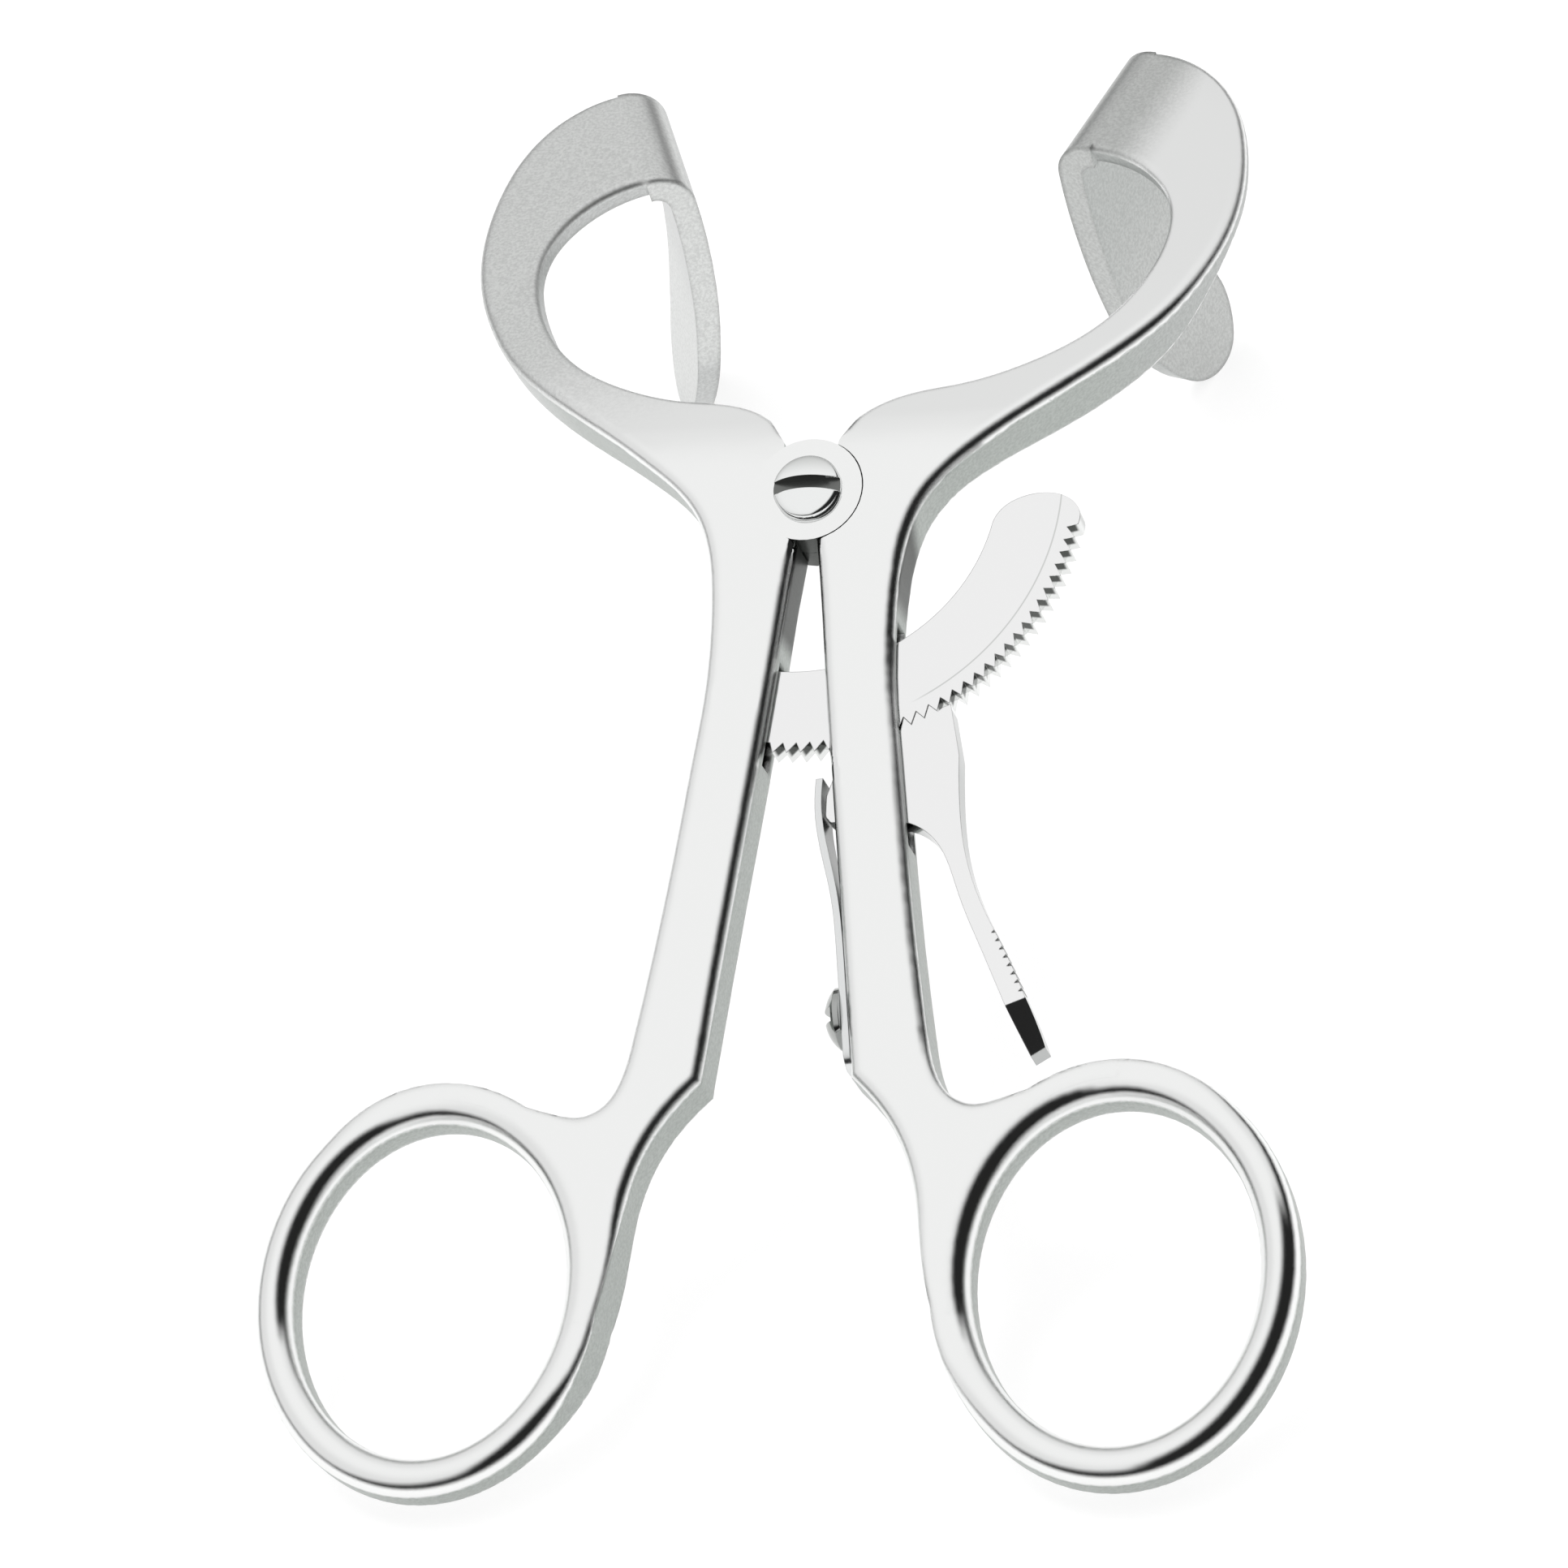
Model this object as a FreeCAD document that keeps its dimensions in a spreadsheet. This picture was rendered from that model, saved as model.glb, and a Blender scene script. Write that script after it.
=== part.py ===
import FreeCAD, Part
import math
import os

os.makedirs("parts", exist_ok=True)
doc = FreeCAD.newDocument("mouth_gag")
V = FreeCAD.Vector

# Driving dimensions, in millimetres and degrees. The instrument is drawn face up: x to the right, y towards the
# jaws, z out of the front face, with the pivot at the origin and both arms at the same angle to the y axis.
SIZES = [
    ("arm_thickness", 4.9),
    ("edge_round", 0.9),
    ("bow_edge_round", 0.5),
    ("lap_gap", 0.04),
    ("disc_radius", 4.35),
    ("recess_radius", 4.45),
    ("shank_length", 48.5),
    ("jaw_slope", 20.56),
    ("jaw_start", 4.0),
    ("fold_angle", 22.0),
    ("fold_turn", 3.0),
    ("fold_offset", 2.3),
    ("bend_radius", 3.6),
    ("blade_thickness", 2.2),
    ("bow_reach", 21.8),
    ("bow_height", 50.3),
    ("blade_depth", 31.0),
    ("blade_width", 12.5),
    ("ring_across", 26.1),
    ("ring_below", 63.8),
    ("ring_half_width", 12.15),
    ("ring_half_height", 14.4),
    ("ring_bar_width", 3.0),
    ("ring_bar_depth", 4.4),
    ("pivot_radius", 1.5),
    ("pivot_clearance", 0.03),
    ("pivot_head_radius", 2.7),
    ("pivot_head_height", 1.5),
    ("screw_slot_width", 0.9),
    ("rack_thickness", 2.0),
    ("rack_inner_radius", 14.9),
    ("tooth_root_radius", 20.85),
    ("tooth_depth", 0.85),
    ("tooth_pitch", 2.95),
    ("tooth_lean", 0.31),
    ("tooth_count", 30),
    ("first_valley", -6.3),
    ("rack_heel_angle", -18.0),
    ("rack_toe_angle", 87.5),
    ("rack_pin_radius", 0.9),
    ("rack_pin_across", 4.9),
    ("rack_pin_below", 17.4),
    ("guide_width", 2.3),
    ("guide_top", 11.2),
    ("guide_bottom", 29.8),
    ("pawl_pin_radius", 0.8),
    ("pawl_pin_across", 4.4),
    ("pawl_pin_below", 23.2),
    ("pawl_clearance", 0.05),
    ("pawl_first_tooth", 10),
    ("pawl_teeth", 3),
    ("mesh_clearance", 0.06),
    ("grip_pitch", 0.75),
    ("grip_depth", 0.3),
    ("leaf_thickness", 0.55),
    ("leaf_width", 3.4),
    ("spring_screw_below", 43.1),
    ("spring_head_radius", 2.0),
    ("spring_head_height", 1.5),
    ("spring_screw_radius", 1.0),
    ("spring_screw_length", 4.6),
    ("rest_tilt", 19.46),
    ("rest_forward", 13.18),
    ("rest_height", 28.21),
]
sheet = doc.addObject("Spreadsheet::Sheet", "sizes")
for row, (name, value) in enumerate(SIZES, 1):
    sheet.set(f"A{row}", name)
    sheet.set(f"B{row}", str(value))
    sheet.setAlias(f"B{row}", name)
doc.recompute()


def size(name):
    return float(sheet.get(name))


THICK = size("arm_thickness")
HALF = THICK / 2
SLOPE = math.radians(size("jaw_slope"))
FOLD = math.radians(size("fold_angle"))

# The jaw's own directions: across the fold, along the fold, and out of the sloping front face.
FACE = V(0, math.sin(SLOPE), math.cos(SLOPE))
ALONG = V(math.sin(FOLD), math.cos(FOLD), -math.tan(SLOPE) * math.cos(FOLD))
ALONG.normalize()
ACROSS = ALONG.cross(FACE)
JAW_ORIGIN = V(0, size("jaw_start"), HALF)
CORNER = size("fold_offset") + size("bend_radius")


def on_jaw(across, along, face=0.0):
    """A point given in the jaw's own directions."""
    return JAW_ORIGIN + ACROSS * across + ALONG * along + FACE * face


def curve(points, start=None, end=None):
    """A smooth curve through the points."""
    spline = Part.BSplineCurve()
    if start and end:
        spline.interpolate(Points=points, InitialTangent=start, FinalTangent=end)
    else:
        spline.interpolate(points)
    return spline.toShape()


def line(a, b):
    return Part.LineSegment(a, b).toShape()


def chain(points):
    return [line(a, b) for a, b in zip(points, points[1:])]


def prism(edges, way):
    return Part.Face(Part.Wire(edges)).extrude(way)


def ring_point(half_width, half_height, angle):
    turn = math.radians(angle)
    return V(size("ring_across") + half_width * math.cos(turn), -size("ring_below") + half_height * math.sin(turn), 0)


def drop(point):
    return V(point.x, point.y, 0)


def flat_jaw(points):
    """Jaw points as shares of the bow's reach and height, dropped on the drawing plane."""
    return [drop(on_jaw(a * size("bow_reach"), b * size("bow_height"))) for a, b in points]


def from_top(share):
    """How far along the jaw a share of the blade's width below its top lies."""
    return size("bow_height") - size("blade_width") * share


def fold_end(share):
    """A point where the bow's face runs out into the fold, dropped on the drawing plane."""
    turn = math.tan(math.radians(size("fold_turn")))
    return drop(on_jaw(CORNER - turn * size("blade_width") * (1 - share), from_top(share)))


def stretch(start, end, shares):
    """Points between two ends, each given as its shares of the way across and of the way down."""
    return [V(start.x + (end.x - start.x) * a, start.y + (end.y - start.y) * b, 0) for a, b in shares]


HEEL = V(5.8, -size("shank_length"), 0)
SHANK_SIDE = [(0.19, 0.142), (0.336, 0.309), (0.526, 0.511), (0.707, 0.691), (0.957, 0.953)]


def arm_outline():
    """The right arm from the front, with its long sides apart: the bow's inner side, then all the outer ones."""
    low, high = fold_end(1), fold_end(0)
    notch = [V(2.25, 4.35, 0), V(3.65, 6.7, 0), V(5.0, 7.85, 0)]
    eye = [notch[2], V(8.2, 9.05, 0)] + flat_jaw(
        [(0.39, 0.191), (0.573, 0.26), (0.72, 0.35), (0.784, 0.433), (0.798, 0.512), (0.775, 0.59), (0.702, 0.663),
         (0.578, 0.716)]
    ) + [low]
    bow = [high] + flat_jaw(
        [(0.45, 0.992), (0.578, 0.964), (0.72, 0.907), (0.853, 0.817), (0.954, 0.709), (1.0, 0.6), (1.0, 0.522),
         (0.968, 0.423), (0.899, 0.339), (0.798, 0.25), (0.683, 0.157)]
    ) + [V(13.4, 3.1, 0), V(10.9, 0.8, 0), V(9.1, -1.6, 0), V(8.1, -4.3, 0), V(7.6, -7.5, 0)]
    wide, high_half = size("ring_half_width"), size("ring_half_height")
    top = ring_point(wide, high_half, 90)
    crown = ring_point(wide, high_half + size("ring_bar_width") * 0.45, 90)
    crotch_top = V(11.4, crown.y + 3.3, 0)
    shank_out = [bow[-1]] + stretch(
        V(0, 0, 0), crotch_top, [(0.65, 0.27), (0.667, 0.381), (0.719, 0.493), (0.789, 0.639), (0.895, 0.836)]
    ) + [crotch_top]
    crotch = [crotch_top] + [
        crown + V(across - crown.x, -fall, 0) for across, fall in
        ((12.2, 0.1), (13.5, 2.1), (15.3, 2.8), (17.8, 2.5), (20.6, 1.6), (23.3, 0.4))
    ] + [crown]
    side = ring_point(wide, high_half, 193)
    ellipse = Part.Ellipse(ring_point(0, high_half, 90), ring_point(wide, 0, 180), ring_point(0, 0, 0))
    first, last = ellipse.parameter(top), ellipse.parameter(side)
    around = Part.Edge(ellipse, first, last) if first < last else Part.Edge(ellipse, first, last + 2 * math.pi)
    neck_end = V(side.x - size("ring_bar_width") * 0.45, side.y, 0)
    neck = [neck_end] + stretch(
        HEEL, neck_end, [(0.838, 0.728), (0.765, 0.556), (0.647, 0.367), (0.441, 0.2), (0.206, 0.081)]
    ) + [HEEL]
    shank_in = [HEEL] + stretch(V(0, 0, 0), HEEL, SHANK_SIDE[::-1]) + [V(0.8, -4.5, 0)]
    inner_side = curve(eye)
    outer_sides = [curve(side_points) for side_points in (bow, shank_out, crotch, neck, shank_in)]
    around_outside, down_outside, into_crotch, along_neck, up_inside = outer_sides
    edges = [
        *chain(notch), inner_side, line(low, high), around_outside, down_outside, into_crotch, line(crown, top),
        around, line(side, neck_end), along_neck, up_inside, line(shank_in[-1], notch[0])
    ]
    return edges, inner_side, outer_sides


def arm_band():
    """The arm from the side: flat at the joint, then leaning back and thinning out to the blade."""
    start = size("jaw_start")
    fall = math.tan(SLOPE)
    blade = size("blade_thickness") / math.cos(SLOPE)

    def front(y):
        return HALF - fall * (y - start)

    low, high = start - 2.5, start + 2.5
    top, foot = size("bow_height") + 10, -2 * size("ring_below")
    reach = size("bow_height") * 0.5
    face = [V(0, foot, HALF), V(0, low, HALF), V(0, high, front(high)), V(0, top, front(top))]
    back = [V(0, top, front(top) - blade), V(0, reach, front(reach) - blade), V(0, low - 1, -HALF), V(0, foot, -HALF)]
    belly = [V(0, reach * a, front(reach * a) - deep) for a, deep in ((0.75, 4.0), (0.52, 6.1), (0.27, 6.2))]
    edges = [
        line(face[0], face[1]),
        curve([face[1], face[2]], V(0, 5, 0), V(0, 5, -5 * fall)),
        line(face[2], face[3]),
        line(face[3], back[0]),
        line(back[0], back[1]),
        curve([back[1], *belly, back[2]], V(0, -5, 5 * fall), V(0, -5, 0)),
        line(back[2], back[3]),
        line(back[3], face[0]),
    ]
    return prism(edges, V(3 * size("ring_across"), 0, 0))


def in_jaw(shape):
    shape.Placement = FreeCAD.Placement(JAW_ORIGIN, FreeCAD.Rotation(ACROSS, ALONG, FACE))
    return shape


def blade():
    """The bite blade, drawn in the jaw's own directions: the fold, then the blade going back to a round end."""
    inner = size("fold_offset")
    bend = size("bend_radius")
    thick = size("blade_thickness")
    deep = size("blade_depth")
    top, low = from_top(0), from_top(1)
    diagonal = math.sqrt(0.5)
    depths = [-bend] + [-share * deep for share in (0.26, 0.39, 0.52, 0.65, 0.78, 0.9, 1.05)]
    lean = [0, 0.05, 0.35, 0.9, 1.75, 2.7, 3.6, 4.8]
    thinner = (1, 1, 1, 0.97, 0.94, 0.9, 0.87, 0.84)
    sides = []
    for radius, offsets in ((bend, lean), (bend - thick, [x + thick * share for x, share in zip(lean, thinner)])):
        arc = Part.Arc(
            V(CORNER, 0, radius - bend), V(CORNER - radius * diagonal, 0, radius * diagonal - bend),
            V(CORNER - radius, 0, -bend)
        ).toShape()
        sides.append((arc, curve([V(inner + x, 0, z) for x, z in zip(offsets, depths)])))
    (arc_out, down_out), (arc_in, down_in) = sides
    tips = [down_out.Vertexes[-1].Point, down_in.Vertexes[-1].Point]
    band = prism(
        [arc_out, down_out, line(*tips), down_in, arc_in, line(V(CORNER, 0, 0), V(CORNER, 0, -thick))],
        V(0, top + 10, 0)
    )
    end = curve([V(0, from_top(share), -z * deep) for share, z in (
        (1, 0.64), (0.952, 0.758), (0.857, 0.842), (0.675, 0.945), (0.405, 1), (0.16, 0.985), (0.04, 0.925), (0, 0.8))])
    corners = [end.Vertexes[-1].Point, V(0, top, bend), V(0, low, bend), end.Vertexes[0].Point]
    shape = band.common(prism([end, *chain(corners)], V(4 * CORNER, 0, 0)))
    shape.rotate(V(CORNER, low, 0), V(0, 0, 1), size("fold_turn"))
    return in_jaw(shape)


def ring():
    """The finger ring: a bar with round edges along an ellipse."""
    path = Part.Wire(Part.Ellipse(
        ring_point(0, size("ring_half_height"), 90), ring_point(size("ring_half_width"), 0, 0), ring_point(0, 0, 0)
    ).toShape())
    centre = ring_point(size("ring_half_width"), 0, 0)
    across = size("ring_bar_width") / 2
    straight = size("ring_bar_depth") / 2 - across
    right, left = V(across, 0, 0), V(-across, 0, 0)
    up, down = V(0, 0, straight), V(0, 0, -straight)
    bar = Part.Wire([
        line(centre + right + down, centre + right + up),
        Part.Arc(centre + right + up, centre + up + V(0, 0, across), centre + left + up).toShape(),
        line(centre + left + up, centre + left + down),
        Part.Arc(centre + left + down, centre + down - V(0, 0, across), centre + right + down).toShape(),
    ])
    return path.makePipeShell([bar], True, True)


def long_edges(shape, sides):
    """The long edges of the arm that run along these sides of its outline."""
    found = []
    for edge in shape.Edges:
        middle = Part.Vertex(drop(edge.valueAt((edge.FirstParameter + edge.LastParameter) / 2)))
        curved = edge.Curve.TypeId == "Part::GeomBSplineCurve"
        if curved and edge.Length > THICK and min(side.distToShape(middle)[0] for side in sides) < 0.01:
            found.append(edge)
    return found


def cylinder(radius, low, high, x=0.0, y=0.0):
    return Part.makeCylinder(radius, high - low, V(x, y, low))


def plain_arm():
    edges, inner_side, outer_sides = arm_outline()
    deep = size("bow_height")
    body = prism(edges, V(0, 0, deep + THICK))
    body.translate(V(0, 0, -deep))
    body = body.common(arm_band())
    body = body.makeFillet(size("bow_edge_round"), long_edges(body, [inner_side]))
    body = body.makeFillet(size("edge_round"), long_edges(body, outer_sides))
    return body.fuse(blade()).fuse(ring())


PIVOT = size("pivot_radius")
GAP = size("lap_gap") / 2
OVER = HALF + 0.5
PAWL_PIN = V(size("pawl_pin_across"), -size("pawl_pin_below"), 0)
RACK_PIN = V(-size("rack_pin_across"), -size("rack_pin_below"), 0)


def beside_shank(y, gap=0.0):
    """A point at this height, this far out from the shank's inner side."""
    heights = stretch(V(0, 0, 0), HEEL, SHANK_SIDE)
    for upper, lower in zip(heights, heights[1:]):
        if y > lower.y or lower is heights[-1]:
            return V(upper.x + (lower.x - upper.x) * (y - upper.y) / (lower.y - upper.y) - gap, y, 0)


def shank_side(y):
    """Where the shank's inner side is at this height, and the way it faces."""
    seat = beside_shank(y)
    down = seat - beside_shank(y + 0.1)
    way = V(down.y, -down.x, 0)
    way.normalize()
    return seat, way


def right_arm():
    """Half its thickness is cut back round the pivot for the other arm's disc, and the shank is slotted."""
    shape = plain
    shape = shape.cut(cylinder(size("recess_radius"), -GAP, OVER)).fuse(cylinder(size("disc_radius"), -HALF, -GAP))
    shape = shape.cut(cylinder(PIVOT, -OVER, OVER))
    wide = size("guide_width")
    top, bottom = size("guide_top"), size("guide_bottom")
    shape = shape.cut(Part.makeBox(20, bottom - top, wide, V(-3, -bottom, -wide / 2)))
    shape = shape.cut(cylinder(size("pawl_pin_radius"), -OVER, OVER, PAWL_PIN.x, PAWL_PIN.y))
    seat, way = shank_side(-size("spring_screw_below"))
    hole = Part.makeCylinder(size("spring_screw_radius"), size("spring_screw_length") + 1, seat + way, way * -1)
    return shape.cut(hole)


def left_arm():
    """The mirrored arm with the front disc, and a blind mortise that holds the rack's heel."""
    shape = plain.mirror(V(0, 0, 0), V(1, 0, 0))
    shape = shape.cut(cylinder(size("recess_radius"), -3 * HALF, GAP)).fuse(cylinder(size("disc_radius"), GAP, HALF))
    shape = shape.cut(cylinder(PIVOT + size("pivot_clearance"), -OVER, OVER))
    wide = size("rack_thickness")
    inner = size("rack_inner_radius") - 0.9
    outer = size("tooth_root_radius") + size("tooth_depth") + 0.9
    mortise = Part.makeBox(8, outer - inner, wide, V(-6.6, -outer, -wide / 2))
    shape = shape.cut(mortise)
    return shape.cut(cylinder(size("rack_pin_radius"), -OVER, OVER, RACK_PIN.x, RACK_PIN.y))


def polar(radius, angle):
    """A point round the pivot; the angle runs from straight down towards the right."""
    turn = math.radians(angle)
    return V(radius * math.sin(turn), -radius * math.cos(turn), 0)


def tooth_line(first, last, raised=0.0):
    """Ratchet teeth: from each valley a steep flank out to the tip, then a slow one back to the next valley."""
    pitch = size("tooth_pitch")
    root = size("tooth_root_radius") + raised
    points = []
    for k in range(first, last):
        valley = size("first_valley") + k * pitch
        points.append(polar(root, valley))
        points.append(polar(root + size("tooth_depth"), valley + size("tooth_lean") * pitch))
    return points


def ratchet_rack():
    inner = size("rack_inner_radius")
    root = size("tooth_root_radius")
    heel, toe = size("rack_heel_angle"), size("rack_toe_angle")
    count = int(size("tooth_count"))
    teeth = tooth_line(0, count)
    heel_out, heel_in = polar(root, heel), polar(inner, heel)
    turn_in = polar(inner, toe - 9.5)
    wide = root + size("tooth_depth") - inner
    nose = curve([teeth[-1]] + [polar(inner + wide * share, toe - less) for share, less in (
        (0.95, 3.2), (0.78, 0.8), (0.56, 0), (0.33, 0.8), (0.12, 3.6))] + [turn_in])
    edges = [
        Part.Arc(heel_out, polar(root, (heel + size("first_valley")) / 2), teeth[0]).toShape(),
        *chain(teeth),
        nose,
        Part.Arc(turn_in, polar(inner, (heel + toe) / 2), heel_in).toShape(),
        line(heel_in, heel_out),
    ]
    thick = size("rack_thickness")
    shape = prism(edges, V(0, 0, thick))
    shape.translate(V(0, 0, -thick / 2))
    return shape.cut(cylinder(size("rack_pin_radius"), -OVER, OVER, RACK_PIN.x, RACK_PIN.y))


def pawl_lever():
    """Three teeth that fill the rack's valleys, a boss in the shank's slot, and the release lever."""
    pitch = size("tooth_pitch")
    tip_radius = size("tooth_root_radius") + size("tooth_depth")
    ledge = tip_radius + 2 * size("mesh_clearance")
    first = int(size("pawl_first_tooth"))
    last = first + int(size("pawl_teeth"))
    last_valley = size("first_valley") + last * pitch
    mesh = tooth_line(first, last, size("mesh_clearance"))
    mesh += [polar(tip_radius, last_valley - 0.25 * pitch), polar(ledge, last_valley + 0.35 * pitch)]
    reach = size("ring_below") - size("ring_half_height") - size("ring_bar_width") / 2 + PAWL_PIN.y

    def on_lever(points):
        """Points of the lever: how far out, and the share of the way from the pin's level to the ring's."""
        return [V(across, PAWL_PIN.y - reach * share, 0) for across, share in points]

    outer_edge = on_lever([(12.75, -0.028), (12.9, 0.105), (13.6, 0.308), (15.0, 0.47), (16.5, 0.591), (18.6, 0.773),
                           (20.3, 0.96)])
    inner_edge = on_lever([(19.2, 0.988), (17.2, 0.81), (14.9, 0.599), (13.3, 0.449), (12.3, 0.336), (11.2, 0.255),
                           (9.8, 0.206), (8.2, 0.186)])
    tail = [beside_shank(PAWL_PIN.y - down, gap) for down, gap in (
        (4.4, 0.49), (3.9, 0.88), (2.2, 0.67), (0, -0.33), (-0.9, -0.63))]
    shoulder_end = size("first_valley") + (first - 0.65) * pitch
    shoulder = [polar(tip_radius + 0.3, angle) for angle in (10.0, 15.0, shoulder_end)]
    right = mesh[-1]
    low = inner_edge[-1]
    edges = [
        *chain(mesh),
        line(right, outer_edge[0]),
        curve(outer_edge),
        line(outer_edge[-1], inner_edge[0]),
        curve(inner_edge),
        line(low, tail[0]),
        *chain(tail),
        line(tail[-1], shoulder[0]),
        Part.Arc(*shoulder).toShape(),
        line(shoulder[-1], mesh[0]),
    ]
    thick = size("rack_thickness")
    shape = prism(edges, V(0, 0, thick))
    shape.translate(V(0, 0, -thick / 2))
    grip = []
    start, stop = on_lever([(16.1, 0.559), (18.5, 0.765)])
    way = stop - start
    count = int(way.Length / size("grip_pitch")) + 1
    way.normalize()
    side = V(-way.y, way.x, 0)
    for k in range(count):
        at = start + way * (k * size("grip_pitch"))
        half = way * (size("grip_pitch") * 0.42)
        out = side * 0.5
        into = side * -size("grip_depth")
        corners = [at - half + out, at + half + out, at + into]
        cut = prism(chain([*corners, corners[0]]), V(0, 0, 2 * thick))
        cut.translate(V(0, 0, -thick))
        grip.append(cut)
    hole = cylinder(size("pawl_pin_radius") + size("pawl_clearance"), -OVER, OVER, PAWL_PIN.x, PAWL_PIN.y)
    return shape.cut(grip + [hole])


def leaf_spring():
    """A flat strip: held against the shank by its screw, then bowing away to press on the pawl's tail."""
    thick = size("leaf_thickness")
    low, way = shank_side(-size("spring_screw_below") - 4.4)
    high, way = shank_side(-size("spring_screw_below") + 4.4)
    low, high = low + way * GAP, high + way * GAP
    end = beside_shank(PAWL_PIN.y - 1.0, 0.685)
    inner = [high, beside_shank(PAWL_PIN.y - 9.8, 0.29), beside_shank(PAWL_PIN.y - 4.0, 0.96), end]
    along = high - low
    back = [p + way * thick for p in inner]
    edges = [
        line(low, high),
        curve(inner, along, V(0.1, 2, 0)),
        line(end, back[-1]),
        curve(back[::-1], V(-0.1, -2, 0), along * -1),
        line(back[0], low + way * thick),
        line(low + way * thick, low),
    ]
    wide = size("leaf_width")
    strip = prism(edges, V(0, 0, wide))
    strip.translate(V(0, 0, -wide / 2))
    corners = [e for e in strip.Edges if abs(e.BoundBox.YMax - low.y) < 0.2 and e.BoundBox.ZLength < 0.01]
    seat, way = shank_side(-size("spring_screw_below"))
    strip = strip.makeFillet(wide / 2 - 0.3, corners)
    return strip.cut(Part.makeCylinder(size("spring_screw_radius"), 4, seat - way, way))


def feature(label, shape, placement):
    item = doc.addObject("Part::Feature", label)
    item.Label = label
    item.Shape = shape
    item.Placement = placement
    return item


def sized(kind, name, **bound):
    """A primitive whose sizes and place are bound to the sheet."""
    item = doc.addObject(kind, name)
    for prop, expression in bound.items():
        item.setExpression(prop.replace("__", "."), expression)
    return item


def slotted_screw(label, radius, length, head_radius, head_height, place):
    """A domed screw with a driver slot, its head's underside at its own origin."""
    stem = sized("Part::Cylinder", label + "_stem", Radius=radius, Height=length)
    stem.setExpression("Placement.Base.z", f"-1 * ({length})")
    rim = sized("Part::Cylinder", label + "_rim", Radius=head_radius, Height=head_height)
    dome_height = f"({head_height} * 0.7)"
    dome_radius = f"({head_radius} ^ 2 + {dome_height} ^ 2) / (2 * {dome_height})"
    ball = sized("Part::Sphere", label + "_dome", Radius=dome_radius)
    ball.setExpression("Placement.Base.z", f"{head_height} - {dome_radius}")
    head = doc.addObject("Part::Common", label + "_head")
    head.Base = rim
    head.Tool = ball
    solid = doc.addObject("Part::Fuse", label + "_blank")
    solid.Base = head
    solid.Tool = stem
    slot_width = "sizes.screw_slot_width"
    slot = sized("Part::Box", label + "_slot", Length=f"3 * {head_radius}", Width=slot_width, Height=head_height)
    slot.setExpression("Placement.Base.x", f"-1.5 * {head_radius}")
    slot.setExpression("Placement.Base.y", f"-0.5 * {slot_width}")
    slot.setExpression("Placement.Base.z", f"0.45 * {head_height}")
    screw = doc.addObject("Part::Cut", label)
    screw.Base = solid
    screw.Tool = slot
    screw.Label = label
    screw.Placement = place
    return screw


def flush_pin(label, radius, across, below, tilt):
    """A plain pin whose ends are dressed flush with both faces."""
    pin = sized("Part::Cylinder", label, Radius=radius, Height="sizes.arm_thickness")
    pin.Label = label
    pin.Placement = tilt.multiply(FreeCAD.Placement(V(across, below, -HALF), FreeCAD.Rotation()))
    return pin


# The instrument lies face up on a table, on the ends of its blades and the foot of its rings, with the origin on
# the table under its middle.
REST = FreeCAD.Placement(
    V(0, size("rest_forward"), size("rest_height")), FreeCAD.Rotation(V(1, 0, 0), size("rest_tilt"))
)
plain = plain_arm()
seat, way = shank_side(-size("spring_screw_below"))
leaf_face = seat + way * (GAP + size("leaf_thickness"))
pieces = [
    feature("right_arm", right_arm(), REST),
    feature("left_arm", left_arm(), REST),
    feature("ratchet_rack", ratchet_rack(), REST),
    feature("pawl_lever", pawl_lever(), REST),
    feature("leaf_spring", leaf_spring(), REST),
    slotted_screw(
        "pivot_screw", "sizes.pivot_radius", "(sizes.arm_thickness + 0.03)", "sizes.pivot_head_radius",
        "sizes.pivot_head_height",
        REST.multiply(FreeCAD.Placement(V(0, 0, HALF + 0.03), FreeCAD.Rotation(V(0, 0, 1), 4)))
    ),
    slotted_screw(
        "spring_screw", "sizes.spring_screw_radius", "(sizes.spring_screw_length + sizes.leaf_thickness)",
        "sizes.spring_head_radius", "sizes.spring_head_height",
        REST.multiply(FreeCAD.Placement(leaf_face, FreeCAD.Rotation(V(0, 0, 1), way)))
    ),
    flush_pin("rack_pin", "sizes.rack_pin_radius", RACK_PIN.x, RACK_PIN.y, REST),
    flush_pin("pawl_pin", "sizes.pawl_pin_radius", PAWL_PIN.x, PAWL_PIN.y, REST),
]
doc.recompute()

for item in doc.Objects:
    if {"Invalid", "Error"} & set(item.State):
        raise RuntimeError(f"{item.Label} did not compute: {item.State}")
for piece in pieces:
    if piece.Shape.isNull() or not piece.Shape.isValid() or len(piece.Shape.Solids) != 1:
        raise RuntimeError(f"{piece.Label} is not one valid solid")
    piece.Shape.exportStep(f"parts/{piece.Label}.step")
    print(piece.Label, round(piece.Shape.Volume, 2))
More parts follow.
